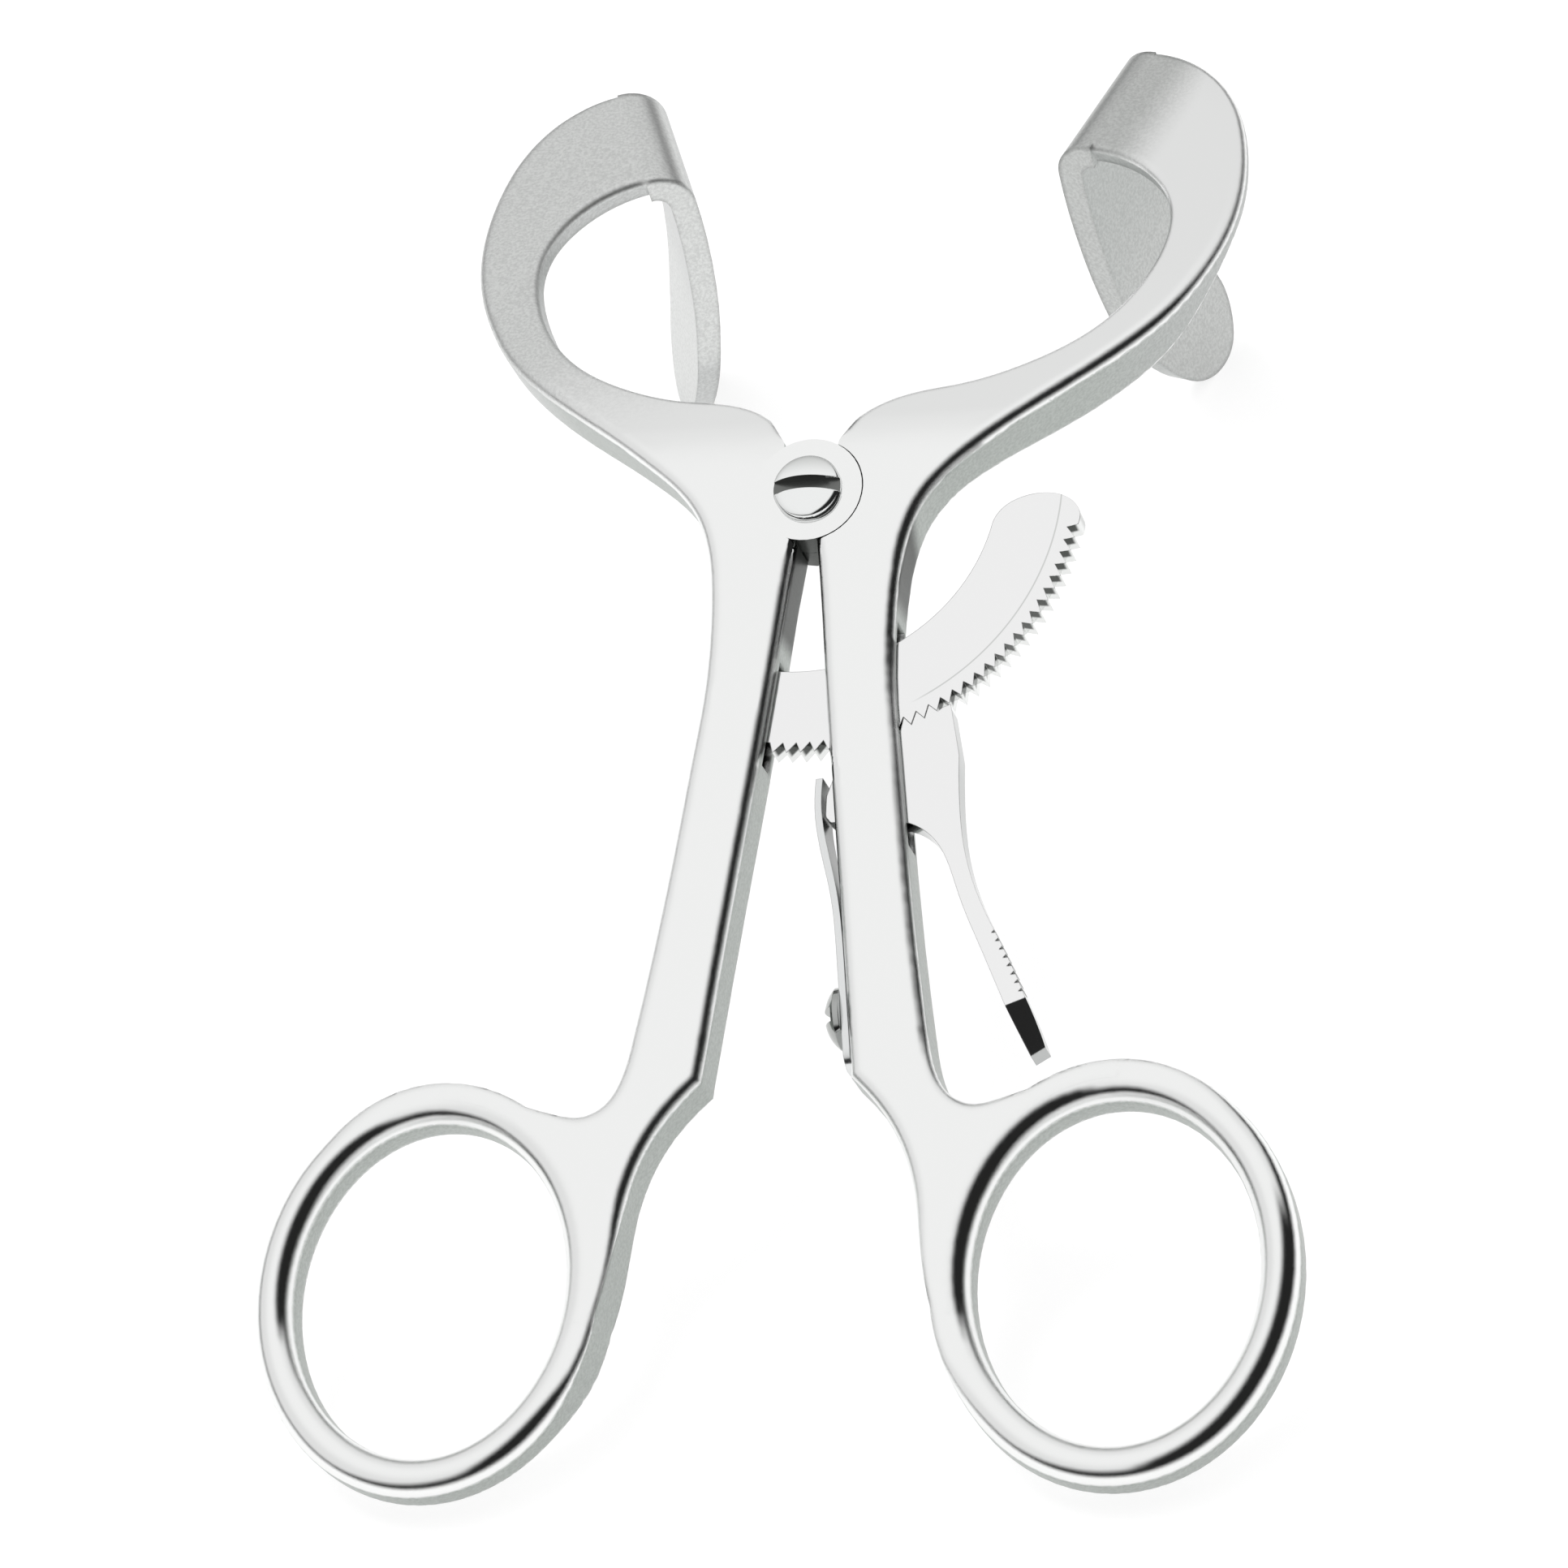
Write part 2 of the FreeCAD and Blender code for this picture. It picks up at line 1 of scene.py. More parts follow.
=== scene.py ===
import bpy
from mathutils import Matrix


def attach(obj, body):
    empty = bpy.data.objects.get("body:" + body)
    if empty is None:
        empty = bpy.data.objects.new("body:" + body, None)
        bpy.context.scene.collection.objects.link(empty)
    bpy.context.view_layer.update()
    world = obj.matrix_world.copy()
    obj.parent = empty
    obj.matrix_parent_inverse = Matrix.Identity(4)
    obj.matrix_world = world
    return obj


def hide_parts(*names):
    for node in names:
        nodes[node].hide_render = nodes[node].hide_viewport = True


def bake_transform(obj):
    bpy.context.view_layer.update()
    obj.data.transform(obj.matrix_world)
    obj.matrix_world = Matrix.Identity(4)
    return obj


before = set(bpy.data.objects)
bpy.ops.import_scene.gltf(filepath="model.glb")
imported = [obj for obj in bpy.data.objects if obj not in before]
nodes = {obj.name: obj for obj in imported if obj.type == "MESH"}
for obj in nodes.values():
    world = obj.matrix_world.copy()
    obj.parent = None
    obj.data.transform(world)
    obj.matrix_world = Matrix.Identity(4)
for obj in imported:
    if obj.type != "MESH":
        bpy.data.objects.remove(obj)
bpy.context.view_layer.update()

import math

import bmesh
import bpy
from mathutils import Matrix, Vector
from mathutils.kdtree import KDTree

# The instrument's own frame has the pivot at its origin, the front face up and the jaws
# towards +Y. At rest it is tilted and lifted so that it lies on the ends of its blades and on
# the foot of its rings.
TILT = math.radians(19.46)
REST = Matrix.Translation((0, 0.01318, 0.02821)) @ Matrix.Rotation(TILT, 4, "X")
FRONT = REST.to_3x3() @ Vector((0, 0, 1))
JAWWARD = REST.to_3x3() @ Vector((0, 1, 0))
RIGHTWARD = (1, 0, 0)

# The photograph's camera in the instrument's own frame. Its distance is in metres, and the
# photo's size and the pivot's place in it are in pixels.
AZIMUTH, ELEVATION, ROLL = math.radians(15.694), math.radians(25.145), math.radians(3.287)
DISTANCE = 0.442
SENSOR = 36.0
PIXELS_PER_MM = 15.7
PHOTO = 1932
PIVOT_AT = (1005.0, 619.3)


def make_camera():
    level_share = math.cos(ELEVATION)
    towards = Vector((
        math.sin(AZIMUTH) * level_share, -math.sin(ELEVATION), math.cos(AZIMUTH) * level_share
    ))
    level = Vector((0, 1, 0)).cross(towards).normalized()
    over = towards.cross(level)
    right = level * math.cos(ROLL) + over * math.sin(ROLL)
    up = over * math.cos(ROLL) - level * math.sin(ROLL)
    place = Matrix((right, up, towards)).transposed().to_4x4()
    place.translation = towards * DISTANCE
    data = bpy.data.cameras.new("camera")
    data.sensor_width = SENSOR
    data.lens = SENSOR * PIXELS_PER_MM * DISTANCE * 1000 / PHOTO
    data.shift_x = (PHOTO / 2 - PIVOT_AT[0]) / PHOTO
    data.shift_y = (PIVOT_AT[1] - PHOTO / 2) / PHOTO
    data.clip_start = 0.01
    data.clip_end = 10
    camera = bpy.data.objects.new("camera", data)
    bpy.context.scene.collection.objects.link(camera)
    camera.matrix_world = REST @ place
    bpy.context.scene.camera = camera


make_camera()


def drawn(across, along):
    """A point of the drawing's middle plane, given in millimetres, where it lies at rest."""
    return REST @ Vector((across / 1000, along / 1000, 0))


class Graph:
    """A short way to add nodes to a material and link them."""

    def __init__(self, material):
        self.tree = material.node_tree
        self.shader = self.tree.nodes["Principled BSDF"]

    def add(self, kind, inputs=None, **settings):
        node = self.tree.nodes.new(kind)
        for name, value in settings.items():
            setattr(node, name, value)
        for name, value in (inputs or {}).items():
            if isinstance(value, bpy.types.NodeSocket):
                self.tree.links.new(value, node.inputs[name])
            else:
                node.inputs[name].default_value = value
        return node

    def feed(self, name, value):
        """Link a value to one of the shader's own inputs."""
        self.tree.links.new(value, self.shader.inputs[name])

    def place(self):
        return self.add("ShaderNodeTexCoord").outputs["Object"]

    def normal(self):
        return self.add("ShaderNodeNewGeometry").outputs["Normal"]

    def bevel(self, radius):
        """The normal of a surface whose edges are rounded."""
        return self.add("ShaderNodeBevel", {"Radius": radius}, samples=6).outputs[0]

    def math(self, operation, a, b=0.0):
        return self.add("ShaderNodeMath", {0: a, 1: b}, operation=operation).outputs[0]

    def times(self, a, b):
        return self.math("MULTIPLY", a, b)

    def vector(self, operation, a, b=(0, 0, 0)):
        """A sum, a cross product or the like: what is a vector again."""
        return self.add("ShaderNodeVectorMath", {0: a, 1: b}, operation=operation).outputs[0]

    def scaled(self, a, factor):
        inputs = {0: a, "Scale": factor}
        return self.add("ShaderNodeVectorMath", inputs, operation="SCALE").outputs[0]

    def along(self, point, way):
        """How far a point lies along a direction."""
        inputs = {0: point, 1: way}
        node = self.add("ShaderNodeVectorMath", inputs, operation="DOT_PRODUCT")
        return node.outputs["Value"]

    def from_axis(self, place, centre):
        """The distance from a line through this centre and square to the front face."""
        across = self.vector("CROSS_PRODUCT", self.vector("SUBTRACT", place, centre), FRONT)
        node = self.add("ShaderNodeVectorMath", {0: across}, operation="LENGTH")
        return node.outputs["Value"]

    def ramp(self, value, low, high, to_low=0.0, to_high=1.0):
        """A smooth step of the value from one level to another."""
        inputs = {
            "Value": value, "From Min": low, "From Max": high, "To Min": to_low, "To Max": to_high
        }
        node = self.add("ShaderNodeMapRange", inputs, interpolation_type="SMOOTHSTEP")
        return node.outputs["Result"]

    def mix(self, factor, a, b):
        """A blend of two colours, each of which is a socket or three numbers."""
        a, b = (
            colour if isinstance(colour, bpy.types.NodeSocket) else (*colour, 1)
            for colour in (a, b)
        )
        return self.add("ShaderNodeMix", {0: factor, 6: a, 7: b}, data_type="RGBA").outputs[2]

    def sides(self):
        """One on faces square to the front, nothing on the front and the rounded edges."""
        facing = self.math("ABSOLUTE", self.along(self.normal(), FRONT))
        return self.ramp(facing, *SIDE_FACING)


# How far a side's normal may lean towards the front, from a rounded edge to a plain side.
SIDE_FACING = (0.34, 0.14)

# Colours of the steel by its finish and by what it mirrors, and of painted light and shade.
POLISHED = (0.86, 0.865, 0.86)
MILLED = (0.40, 0.425, 0.405)
# Painted shade on an arm's sides beside the pivot, where the real arm has a recess.
RECESS_SHADE = (0.07, 0.075, 0.07)
# Painted shade in the teeth's roots and on the leaf's inner face.
SHADE = (0.05, 0.055, 0.05)
RACK_FRONT, RACK_SIDE, RACK_LINE = (0.85, 0.85, 0.85), (0.45, 0.46, 0.455), (0.62, 0.63, 0.62)
# The teeth's painted light on their bright flanks, and the grip's painted shade.
TOOTH_LIGHT, GRIP_SHADE = (0.80, 0.81, 0.80), (0.08, 0.085, 0.08)
# The pivot screw's steel, and the painted shade on its half towards the jaws.
DOME, DOME_SHADE = (0.84, 0.85, 0.845), (0.60, 0.61, 0.60)
LEAF = (0.74, 0.75, 0.75)

# An arm's grain, the tones that it gives the dull steel, and the roughness from polished to
# dull.
GRAIN = {"Scale": 3800.0, "Detail": 2.0, "Roughness": 0.6}
SPECKLE = (0.3, 0.7, 0.9, 1.1)
DULLNESS = (0, 1, 0.06, 0.36)

# The jaw's own directions start where the bow leaves the joint.
SLOPE, FOLD = math.radians(20.56), math.radians(22.0)
JAW_START = REST @ Vector((0, 0.004, 0.00245))

# Where an arm's finish and its painted shade change, each as a smooth step in metres: along the
# jaw, across it, or away from the axis of the pivot or of the pressed pin.
JAW_SIDES = (0.012, 0.024)
FOLD_EDGE, FOLD_FOOT = (0.0125, 0.0075), (0.030, 0.034)
RECESS_SHADE_RADIUS, RECESS_SHADE_TOP = (0.0135, 0.0115), (-0.002, -0.004)
PIN_RIM, JOINT_RIM = (0.0014, 0.0024), (0.0050, 0.0062)
ARM_EDGE, SMALL_EDGE = 0.0008, 0.00012

# The ratchet's marks, most of them painted light and shade: radii from the pivot's axis, then
# heights along RIGHTWARD and FRONT.
TOOTH_FOOT, TOOTH_TIP, ROOT_SHADE = (0.02070, 0.02080), (0.0223, 0.0222), (0.02165, 0.02140)
GRIP_START, GRIP_END = (0.0390, 0.0400), (0.0460, 0.0455)
LINE_RADIUS, LINE_EDGE, LINE_START = 0.02000, (0.00009, 0.00003), (0.0085, 0.0105)
LOW_TEETH, ROOT_SHADE_DEPTH = (0.0170, 0.0120), (-0.0003, 0.0001)
NOSE = JAWWARD.dot(drawn(0, -2.9))
NOSE_FADE = 0.0006

# A tooth's flank is painted dark, as shade, where its normal turns against the way round the
# pivot; elsewhere the teeth are painted bright, as lit.
STEEP = (0.15, -0.15)

# The pivot screw's head: how far its flat look reaches from the axis, how much a normal that
# faces the front is lifted towards it, and where the head turns greyer on the jaws' side, a
# painted shade.
DOME_REACH, DOME_LIFT, DOME_FADE = (0.0027, 0.0019), (0.6, 0.75, 0.0, 3.0), (0.0005, 0.0026)

# How far a normal of the leaf turns to the right, from a lit face to a shaded one.
LEAF_INSIDE = (0.2, 0.6)


def jaw_ways(side):
    """The directions along the jaw's fold and across it, as they are at rest."""
    drop = -math.tan(SLOPE) * math.cos(FOLD)
    along = Vector((side * math.sin(FOLD), math.cos(FOLD), drop)).normalized()
    face = Vector((0, math.sin(SLOPE), math.cos(SLOPE)))
    across = along.cross(face) * side
    return REST.to_3x3() @ along, REST.to_3x3() @ across


def steel(name, colour, roughness):
    """Plain steel with one finish all over."""
    material = bpy.data.materials.new(name)
    material.use_nodes = True
    shader = material.node_tree.nodes["Principled BSDF"]
    shader.inputs["Base Color"].default_value = (*colour, 1)
    shader.inputs["Metallic"].default_value = 1.0
    shader.inputs["Roughness"].default_value = roughness
    return material


def arm_steel(name, side, pin, satin_bow, front_tone, side_tone):
    """An arm: mirror polish in front, milled grey sides, satin on the jaw, and painted shade on
    its sides by the pivot.
    """
    material = steel(name, (0.86, 0.87, 0.865), 0.07)
    graph = Graph(material)
    place = graph.place()
    along_way, across_way = jaw_ways(side)
    from_start = graph.vector("SUBTRACT", place, JAW_START)
    along = graph.along(from_start, along_way)
    across = graph.along(from_start, across_way)
    pivot_distance = graph.from_axis(place, drawn(0, 0))
    sides = graph.sides()

    fold = graph.times(graph.ramp(across, *FOLD_EDGE), graph.ramp(along, *FOLD_FOOT))
    satin = graph.math("MAXIMUM", graph.ramp(along, *satin_bow), fold)
    front_colour = graph.mix(satin, POLISHED, front_tone)
    side_colour = graph.mix(graph.ramp(along, *JAW_SIDES), MILLED, side_tone)
    # Painted shade on the sides near the pivot, where the real arm has a recess.
    recess_shade = graph.ramp(pivot_distance, *RECESS_SHADE_RADIUS)
    recess_shade = graph.times(recess_shade, graph.ramp(along, *RECESS_SHADE_TOP))
    tone = graph.mix(sides, front_colour, graph.mix(recess_shade, side_colour, RECESS_SHADE))

    dull = graph.math("MAXIMUM", sides, satin)
    grain = graph.add("ShaderNodeTexNoise", {"Vector": place, **GRAIN}).outputs["Fac"]
    speckled = graph.scaled(tone, graph.ramp(grain, *SPECKLE))
    graph.feed("Base Color", graph.mix(dull, tone, speckled))
    graph.feed("Roughness", graph.ramp(dull, *DULLNESS))

    edge = graph.times(graph.ramp(graph.from_axis(place, pin), *PIN_RIM), ARM_EDGE)
    edge = graph.times(edge, graph.ramp(pivot_distance, *JOINT_RIM))
    graph.feed("Normal", graph.bevel(edge))
    return material


def small_steel(name, colour, roughness):
    """A small piece with its edges lightly rounded."""
    material = steel(name, colour, roughness)
    graph = Graph(material)
    graph.feed("Normal", graph.bevel(SMALL_EDGE))
    return material


def mark_ratchet(material):
    """Grey sides; teeth painted bright as if lit, with painted shade in their roots; painted
    shade on the grip; and a fine line by the teeth.
    """
    graph = Graph(material)
    place = graph.place()
    offset = graph.vector("SUBTRACT", place, drawn(0, 0))
    radius = graph.from_axis(place, drawn(0, 0))
    rightward = graph.along(offset, RIGHTWARD)

    round_way = graph.vector("NORMALIZE", graph.vector("CROSS_PRODUCT", FRONT, offset))
    # Painted shade in the roots of flanks that turn away and of the low teeth; other flanks are
    # painted bright, as lit.
    steep = graph.ramp(graph.along(graph.normal(), round_way), *STEEP)
    dark = graph.math("MAXIMUM", steep, graph.ramp(rightward, *LOW_TEETH))
    depth = graph.ramp(graph.along(offset, FRONT), *ROOT_SHADE_DEPTH)
    root = graph.times(graph.ramp(radius, *ROOT_SHADE), depth)
    flank = graph.mix(graph.times(dark, root), TOOTH_LIGHT, SHADE)

    teeth = graph.times(graph.ramp(radius, *TOOTH_FOOT), graph.ramp(radius, *TOOTH_TIP))
    below_nose = graph.ramp(graph.along(place, JAWWARD), NOSE, NOSE - NOSE_FADE)
    side_colour = graph.mix(graph.times(teeth, below_nose), RACK_SIDE, flank)
    # Painted shade over the grip's notches.
    grip = graph.times(graph.ramp(radius, *GRIP_START), graph.ramp(radius, *GRIP_END))
    side_colour = graph.mix(grip, side_colour, GRIP_SHADE)

    off_line = graph.math("ABSOLUTE", graph.math("SUBTRACT", radius, LINE_RADIUS))
    line = graph.times(graph.ramp(off_line, *LINE_EDGE), graph.ramp(rightward, *LINE_START))
    front_colour = graph.mix(line, RACK_FRONT, RACK_LINE)
    graph.feed("Base Color", graph.mix(graph.sides(), front_colour, side_colour))


def flatten_dome(material):
    """The pivot screw's head shines as if it were flat, and rounds off only near its rim."""
    graph = Graph(material)
    place = graph.place()
    normal = graph.shader.inputs["Normal"].links[0].from_socket
    middle = graph.ramp(graph.from_axis(place, drawn(0, 0)), *DOME_REACH)
    up = graph.ramp(graph.along(normal, FRONT), *DOME_LIFT)
    lifted = graph.vector("ADD", normal, graph.scaled(FRONT, graph.times(up, middle)))
    graph.feed("Normal", graph.vector("NORMALIZE", lifted))
    # The head's half towards the jaws is painted greyer, as shade.
    jawward = graph.along(graph.vector("SUBTRACT", place, drawn(0, 0)), JAWWARD)
    graph.feed("Base Color", graph.mix(graph.ramp(jawward, *DOME_FADE), DOME, DOME_SHADE))


def shade_inside(material):
    """The leaf's face towards the shank lies in its own shade."""
    graph = Graph(material)
    inside = graph.ramp(graph.along(graph.normal(), RIGHTWARD), *LEAF_INSIDE)
    graph.feed("Base Color", graph.mix(inside, LEAF, SHADE))


rack_steel = small_steel("rack_steel", RACK_FRONT, 0.09)
pin_steel = steel("pin_steel", POLISHED, 0.06)
finishes = {
    "left_arm": arm_steel(
        "left_arm_steel", -1, drawn(-4.9, -17.4),
        satin_bow=(0.006, 0.022), front_tone=(0.66, 0.67, 0.66), side_tone=(0.54, 0.55, 0.545)
    ),
    "right_arm": arm_steel(
        "right_arm_steel", 1, drawn(4.4, -23.2),
        satin_bow=(0.044, 0.070), front_tone=(0.52, 0.53, 0.52), side_tone=(0.44, 0.455, 0.445)
    ),
    "leaf_spring": small_steel("spring_steel", LEAF, 0.2),
    "pivot_screw": small_steel("screw_steel", DOME, 0.1),
    "spring_screw": small_steel("spring_screw_steel", (0.40, 0.41, 0.40), 0.1),
    "ratchet_rack": rack_steel,
    "pawl_lever": rack_steel,
}
mark_ratchet(rack_steel)
flatten_dome(finishes["pivot_screw"])
shade_inside(finishes["leaf_spring"])
for name, node in nodes.items():
    node.data.materials.clear()
    node.data.materials.append(finishes.get(name, pin_steel))


def copy_of(name, piece_name):
    """A new piece of the scene that has its own copy of a CAD node's mesh and finish."""
    piece = bpy.data.objects.new(piece_name, nodes[name].data.copy())
    bpy.context.scene.collection.objects.link(piece)
    return piece


# The pivot screw's driver slot, in metres. Its floor is measured from the underside of the
# screw's head, where HEAD is.
SLOT_LENGTH, SLOT_WIDTH, SLOT_FLOOR, CUTTER_HEIGHT = 0.009, 0.0011, 0.0003, 0.004
HEAD = REST @ Matrix.Translation((0, 0, 0.00248)) @ Matrix.Rotation(math.radians(0.5), 4, "Z")


def deepen_slot(name, piece_name):
    """The pivot screw again, its driver slot cut across the whole head, with its faces painted
    dark as shade.
    """
    screw = copy_of(name, piece_name)
    size = Matrix.Diagonal((SLOT_LENGTH, SLOT_WIDTH, CUTTER_HEIGHT, 1))
    mesh = bmesh.new()
    bmesh.ops.create_cube(mesh, size=1.0, matrix=size)
    cutter_mesh = bpy.data.meshes.new(piece_name + "_cut")
    mesh.to_mesh(cutter_mesh)
    mesh.free()
    # The slot's faces are painted dark grey, as the shade inside it.
    cutter_mesh.materials.append(steel("slot_shade_steel", (0.16, 0.165, 0.16), 0.3))
    cutter = bpy.data.objects.new(piece_name + "_cut", cutter_mesh)
    bpy.context.scene.collection.objects.link(cutter)
    cutter.matrix_world = HEAD @ Matrix.Translation((0, 0, SLOT_FLOOR + CUTTER_HEIGHT / 2))
    cut = screw.modifiers.new("slot", "BOOLEAN")
    cut.object = cutter
    cut.operation = "DIFFERENCE"
    cut.solver = "EXACT"
    cut.material_mode = "TRANSFER"
    bpy.context.view_layer.update()
    view = bpy.context.evaluated_depsgraph_get()
    finished = bpy.data.meshes.new_from_object(screw.evaluated_get(view))
    screw.modifiers.clear()
    screw.data = finished
    bpy.data.objects.remove(cutter)
    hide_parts(name)
    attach(screw, "right_arm")


def make_leaf():
    """The leaf spring again, as a piece of its own with its place baked into its mesh."""
    leaf = copy_of("leaf_spring", "leaf_strip")
    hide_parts("leaf_spring")
    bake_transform(leaf)


def in_drawing(mesh):
    """The mesh's points in the drawing's millimetres."""
    back = REST.inverted()
    return [back @ vertex.co * 1000 for vertex in mesh.vertices]


def put_back(mesh, points):
    """Move the mesh's points to these places of the drawing."""
    flat = [value for point in points for value in REST @ (point / 1000)]
    mesh.vertices.foreach_set("co", flat)
    mesh.update()


def step(value, low, high):
    """A smooth step from nothing at one level to one at another."""
    share = min(max((value - low) / (high - low), 0.0), 1.0)
    return share * share * (3 - 2 * share)


# The middle line of a ring's bar, an ellipse, and the bar's section in millimetres: it has a
# short straight wall on each side of the middle plane and then rounds over to its front.
RING_ACROSS, RING_BELOW, RING_WIDE, RING_HIGH = 26.1, 63.8, 12.15, 14.4
BAR_HALF, BAR_STRAIGHT, BAR_FRONT = 1.5, 0.7, 2.2

# At its neck the arm is flat and a little thicker. The bar rises to the neck's front between
# two shares of the ring's height, and fades out at RISE_REACH from its middle line. Its outer
# wall grows between the two turns of the ellipse, in degrees, where the neck meets it.
ARM_FRONT = 2.445
RISE_FROM, RISE_TO, RISE_REACH = -0.9, -0.4, 4
NECK_FROM, NECK_TO, NECK_FADE = 90, 193, 45
WALL_GROWTH, SQUARENESS = 1.35, 3
STEPS_PER_DEGREE = 2


def flow_ring(name, piece_name, side):
    """The arm again, with its ring's round bar swelling smoothly into the flat neck."""
    arm = copy_of(name, piece_name)
    path = KDTree(360 * STEPS_PER_DEGREE)
    for k in range(360 * STEPS_PER_DEGREE):
        turn = math.radians(k / STEPS_PER_DEGREE)
        across = RING_ACROSS + RING_WIDE * math.cos(turn)
        path.insert((across, -RING_BELOW + RING_HIGH * math.sin(turn), 0), k)
    path.balance()
    points = in_drawing(arm.data)
    for point in points:
        plan = Vector((point.x * side, point.y, 0))
        k, off = path.find(plan)[1:]
        if off > RISE_REACH:
            continue
        turn = k / STEPS_PER_DEGREE
        across = (plan.x - RING_ACROSS) / RING_WIDE
        down = (plan.y + RING_BELOW) / RING_HIGH
        outside = across * across + down * down > 1
        beyond = max(NECK_FROM - turn, turn - NECK_TO, 0)
        flat = (1 - step(beyond, 0, NECK_FADE)) if outside else 0
        corner = BAR_STRAIGHT + WALL_GROWTH * flat
        level = abs(point.z)
        if level > BAR_FRONT:
            new = max(level, ARM_FRONT)
        elif level > BAR_STRAIGHT:
            short_of_front = (BAR_FRONT - level) / (BAR_FRONT - BAR_STRAIGHT)
            rise = 1 - short_of_front ** (1 + SQUARENESS * flat)
            new = corner + (ARM_FRONT - corner) * rise
        else:
            new = level * corner / BAR_STRAIGHT
        raised = step(down, RISE_FROM, RISE_TO) * (1 - step(off, BAR_HALF, RISE_REACH))
        point.z = math.copysign(level + (new - level) * raised, point.z)
    put_back(arm.data, points)
    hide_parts(name)
    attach(arm, name)


# The release lever's tip in the drawing's millimetres: where it starts to bend back and where
# it ends, how far it bends and how much shorter it gets. The pawl's teeth lie left of TIP_SIDE.
TIP_START, TIP_END = Vector((18.0, -42.6, 0)), Vector((19.75, -47.25, 0))
TIP_BEND, TIP_SHARE, TIP_SIDE = math.radians(32), 0.84, 15
SAME_PLACE = 1e-7
SHARP_EDGE = math.radians(25)


def bend_tip(name, piece_name):
    """The release lever again, with its tip bent back."""
    lever = copy_of(name, piece_name)
    lever.data.attributes.remove(lever.data.attributes["custom_normal"])
    way = (TIP_END - TIP_START).normalized()
    mesh = bmesh.new()
    mesh.from_mesh(lever.data)
    bmesh.ops.remove_doubles(mesh, verts=mesh.verts, dist=SAME_PLACE)
    bmesh.ops.bisect_plane(
        mesh, geom=mesh.verts[:] + mesh.edges[:] + mesh.faces[:], dist=SAME_PLACE,
        plane_co=REST @ (TIP_START / 1000), plane_no=REST.to_3x3() @ way
    )
    mesh.to_mesh(lever.data)
    mesh.free()
    points = in_drawing(lever.data)
    for point in points:
        along = (point - TIP_START).dot(way)
        if along > 1e-4 and point.x > TIP_SIDE:
            back = along * TIP_SHARE * math.sin(TIP_BEND)
            point += way * (along * (TIP_SHARE * math.cos(TIP_BEND) - 1)) - Vector((0, 0, back))
    put_back(lever.data, points)
    lever.data.shade_smooth()
    lever.data.set_sharp_from_angle(angle=SHARP_EDGE)
    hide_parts(name)
    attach(lever, "pawl")


# The leaf's screw in millimetres. Only its head is wider than STEM_HALF, and only that grows.
SCREW_BELOW, STEM_HALF, HEAD_GROWTH = 43.19, 1.5, 1.2


def widen_head(name, piece_name):
    """The leaf's screw again, with a wider head."""
    screw = copy_of(name, piece_name)
    points = in_drawing(screw.data)
    seat = max(point.x for point in points if abs(point.z) > STEM_HALF)
    for point in points:
        if point.x <= seat + 0.01:
            point.y = -SCREW_BELOW + (point.y + SCREW_BELOW) * HEAD_GROWTH
            point.z *= HEAD_GROWTH
    put_back(screw.data, points)
    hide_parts(name)
    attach(screw, "right_arm")


make_leaf()
flow_ring("left_arm", "left_arm_body", -1)
flow_ring("right_arm", "right_arm_body", 1)
bend_tip("pawl_lever", "pawl_lever_body")
widen_head("spring_screw", "spring_screw_head")
deepen_slot("pivot_screw", "pivot_screw_head")


def make_world():
    """Plain white for the camera and the table. The steel mirrors the tent instead."""
    world = bpy.data.worlds.new("white_studio")
    bpy.context.scene.world = world
    world.use_nodes = True
    world.node_tree.nodes["Background"].inputs["Color"].default_value = (1, 1, 1, 1)
    world.node_tree.nodes["Background"].inputs["Strength"].default_value = 1.0


# The tent's tones over the height of a direction, which runs from -1 below to 1 above: its
# bright top, then the ground below the horizon. Its foot fades from dark to light between two
# heights, both of which grow towards DIM_SIDE. OPENING is the middle of its dark opening.
TOP_TONES, GROUND_TONES = (0.60, 0.97, 0.85, 1.0), (-0.02, -0.10, 0.02, 0.9)
DIM_SIDE, DIM_FADE = Vector((0.80, -0.60, 0.0)), (-0.5, 0.5)
FOOT_DARK, FOOT_DARK_GROWTH = 0.05, 0.33
FOOT_LIGHT, FOOT_LIGHT_GROWTH = 0.20, 0.42
OPENING, OPENING_EDGE = Vector((0.74, -0.50, 0.44)).normalized(), (0.74, 0.60)


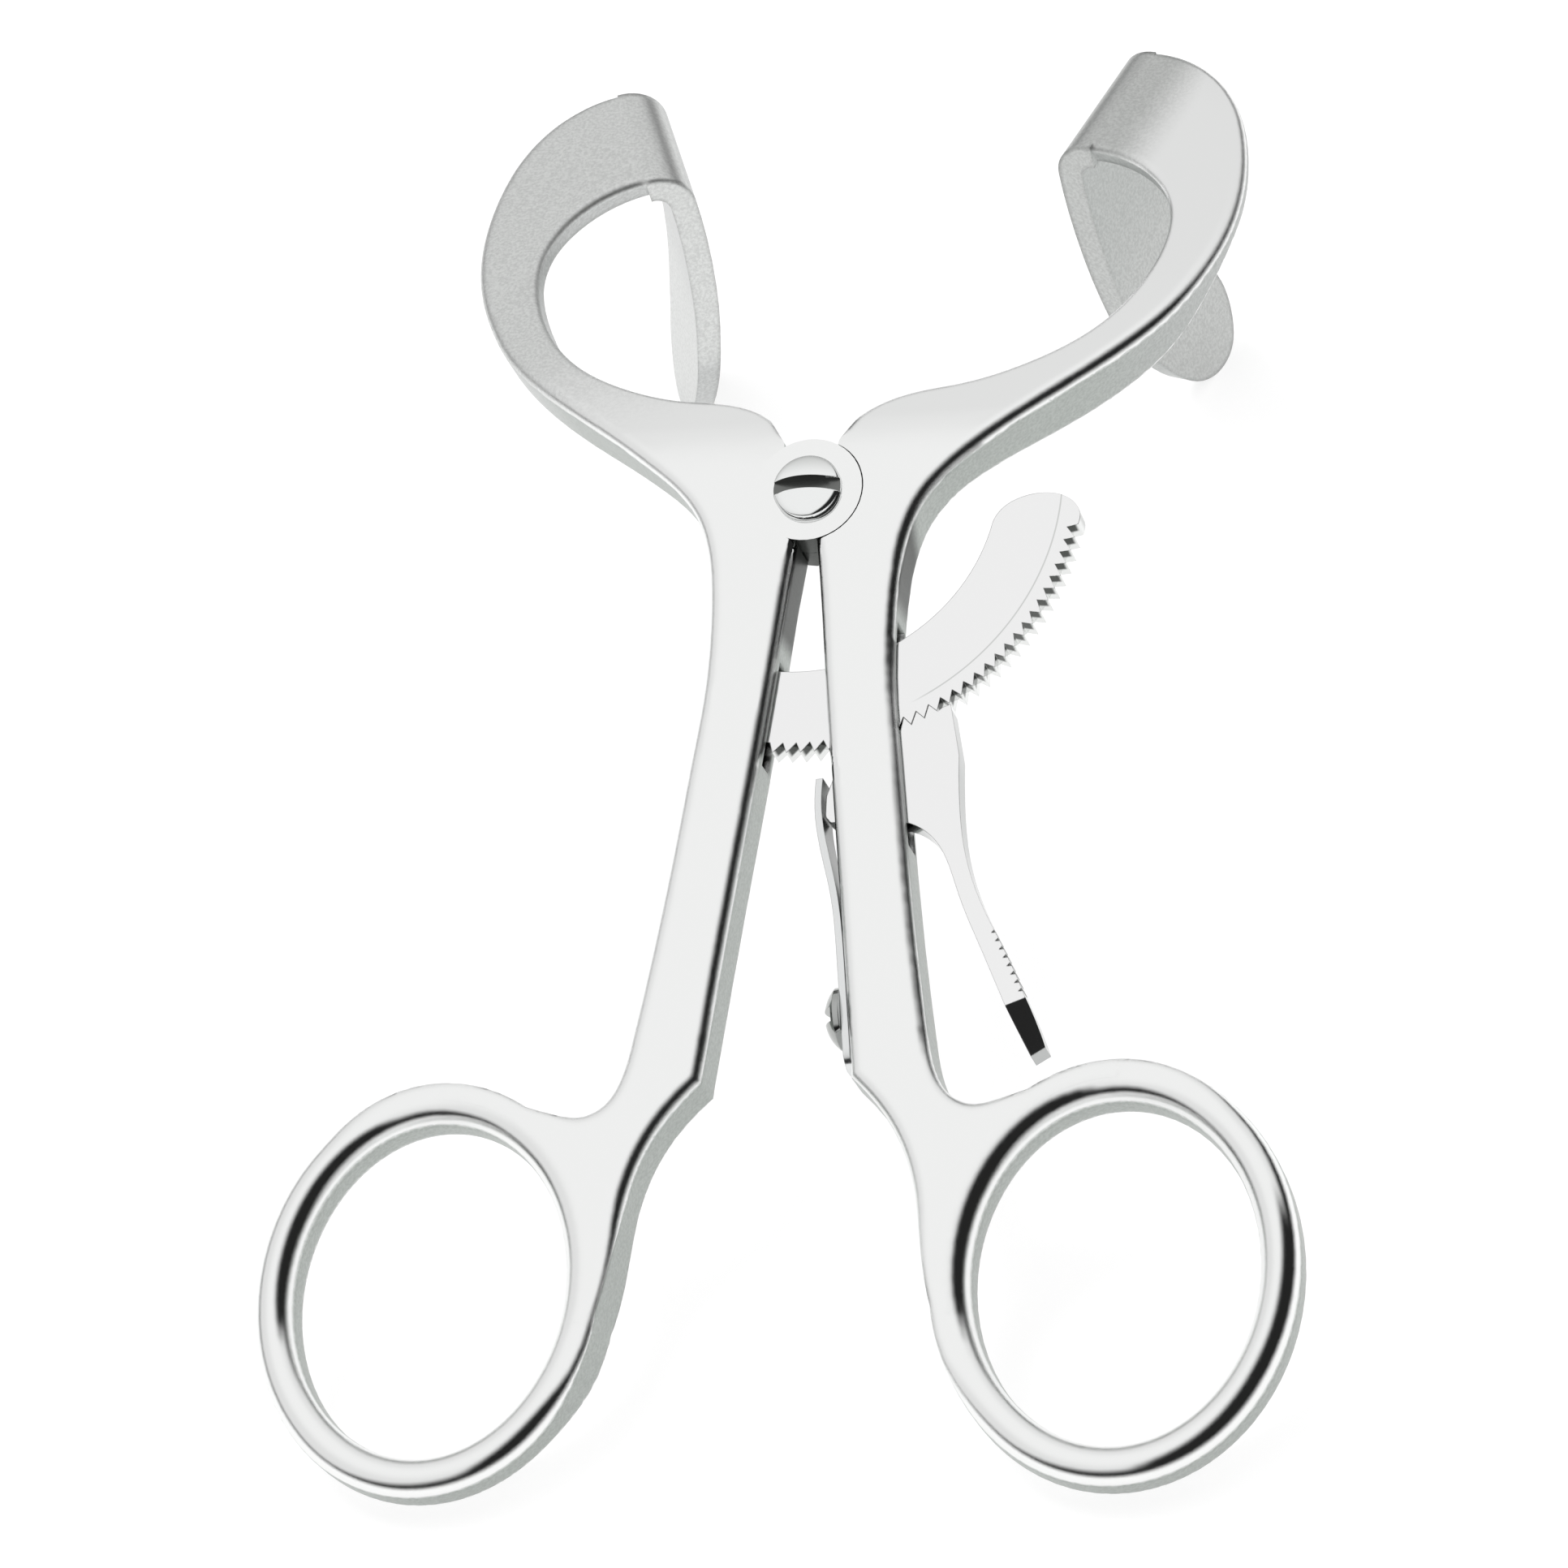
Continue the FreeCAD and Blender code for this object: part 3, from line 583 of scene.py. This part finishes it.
def make_tent():
    """What stands round the table and shows only in the polished steel: a pale tent with a
    dark foot and a dark opening in front, and the white ground below."""
    bpy.ops.mesh.primitive_uv_sphere_add(segments=48, ring_count=24, radius=0.9)
    tent = bpy.context.object
    tent.name = "tent"
    material = bpy.data.materials.new("tent_cloth")
    material.use_nodes = True
    graph = Graph(material)
    way = graph.vector("NORMALIZE", graph.place())
    level = graph.along(way, (0, 0, 1))
    cloth = graph.ramp(level, *TOP_TONES)
    dim = graph.ramp(graph.along(way, DIM_SIDE), *DIM_FADE)
    low = graph.math("ADD", graph.times(dim, FOOT_DARK_GROWTH), FOOT_DARK)
    high = graph.math("ADD", graph.times(dim, FOOT_LIGHT_GROWTH), FOOT_LIGHT)
    beside = graph.ramp(graph.along(way, OPENING), *OPENING_EDGE)
    tone = graph.times(cloth, graph.times(graph.ramp(level, low, high), beside))
    tone = graph.math("MAXIMUM", tone, graph.ramp(level, *GROUND_TONES))
    glow = graph.add("ShaderNodeEmission", {"Color": tone})
    surface = graph.tree.nodes["Material Output"].inputs["Surface"]
    graph.tree.links.new(glow.outputs[0], surface)
    tent.data.materials.append(material)
    tent.visible_camera = False
    tent.visible_diffuse = False
    tent.visible_shadow = False
    tent.visible_transmission = False


def make_floor():
    """A white table that keeps a faint shadow."""
    bpy.ops.mesh.primitive_plane_add(size=0.3)
    floor = bpy.context.object
    floor.name = "table"
    material = bpy.data.materials.new("white_table")
    material.use_nodes = True
    shader = material.node_tree.nodes["Principled BSDF"]
    shader.inputs["Base Color"].default_value = (0.34, 0.34, 0.34, 1)
    shader.inputs["Roughness"].default_value = 0.9
    shader.inputs["Specular IOR Level"].default_value = 0.0
    shader.inputs["Emission Color"].default_value = (1, 1, 1, 1)
    shader.inputs["Emission Strength"].default_value = 0.72
    floor.data.materials.append(material)


def lamp(name, place, aim, size, power):
    """A lamp that lights the table and doesn't show in the steel."""
    data = bpy.data.lights.new(name, "AREA")
    data.shape = "RECTANGLE"
    data.size, data.size_y = size
    data.energy = power
    light = bpy.data.objects.new(name, data)
    bpy.context.scene.collection.objects.link(light)
    light.location = place
    light.rotation_mode = "QUATERNION"
    light.rotation_quaternion = (Vector(aim) - Vector(place)).to_track_quat("-Z", "Y")
    light.visible_glossy = False


make_world()
make_tent()
make_floor()
lamp("key", (-0.3, 0.25, 0.6), (0, 0, 0.02), (0.35, 0.35), 1.5)
bpy.context.scene.view_settings.view_transform = "Standard"
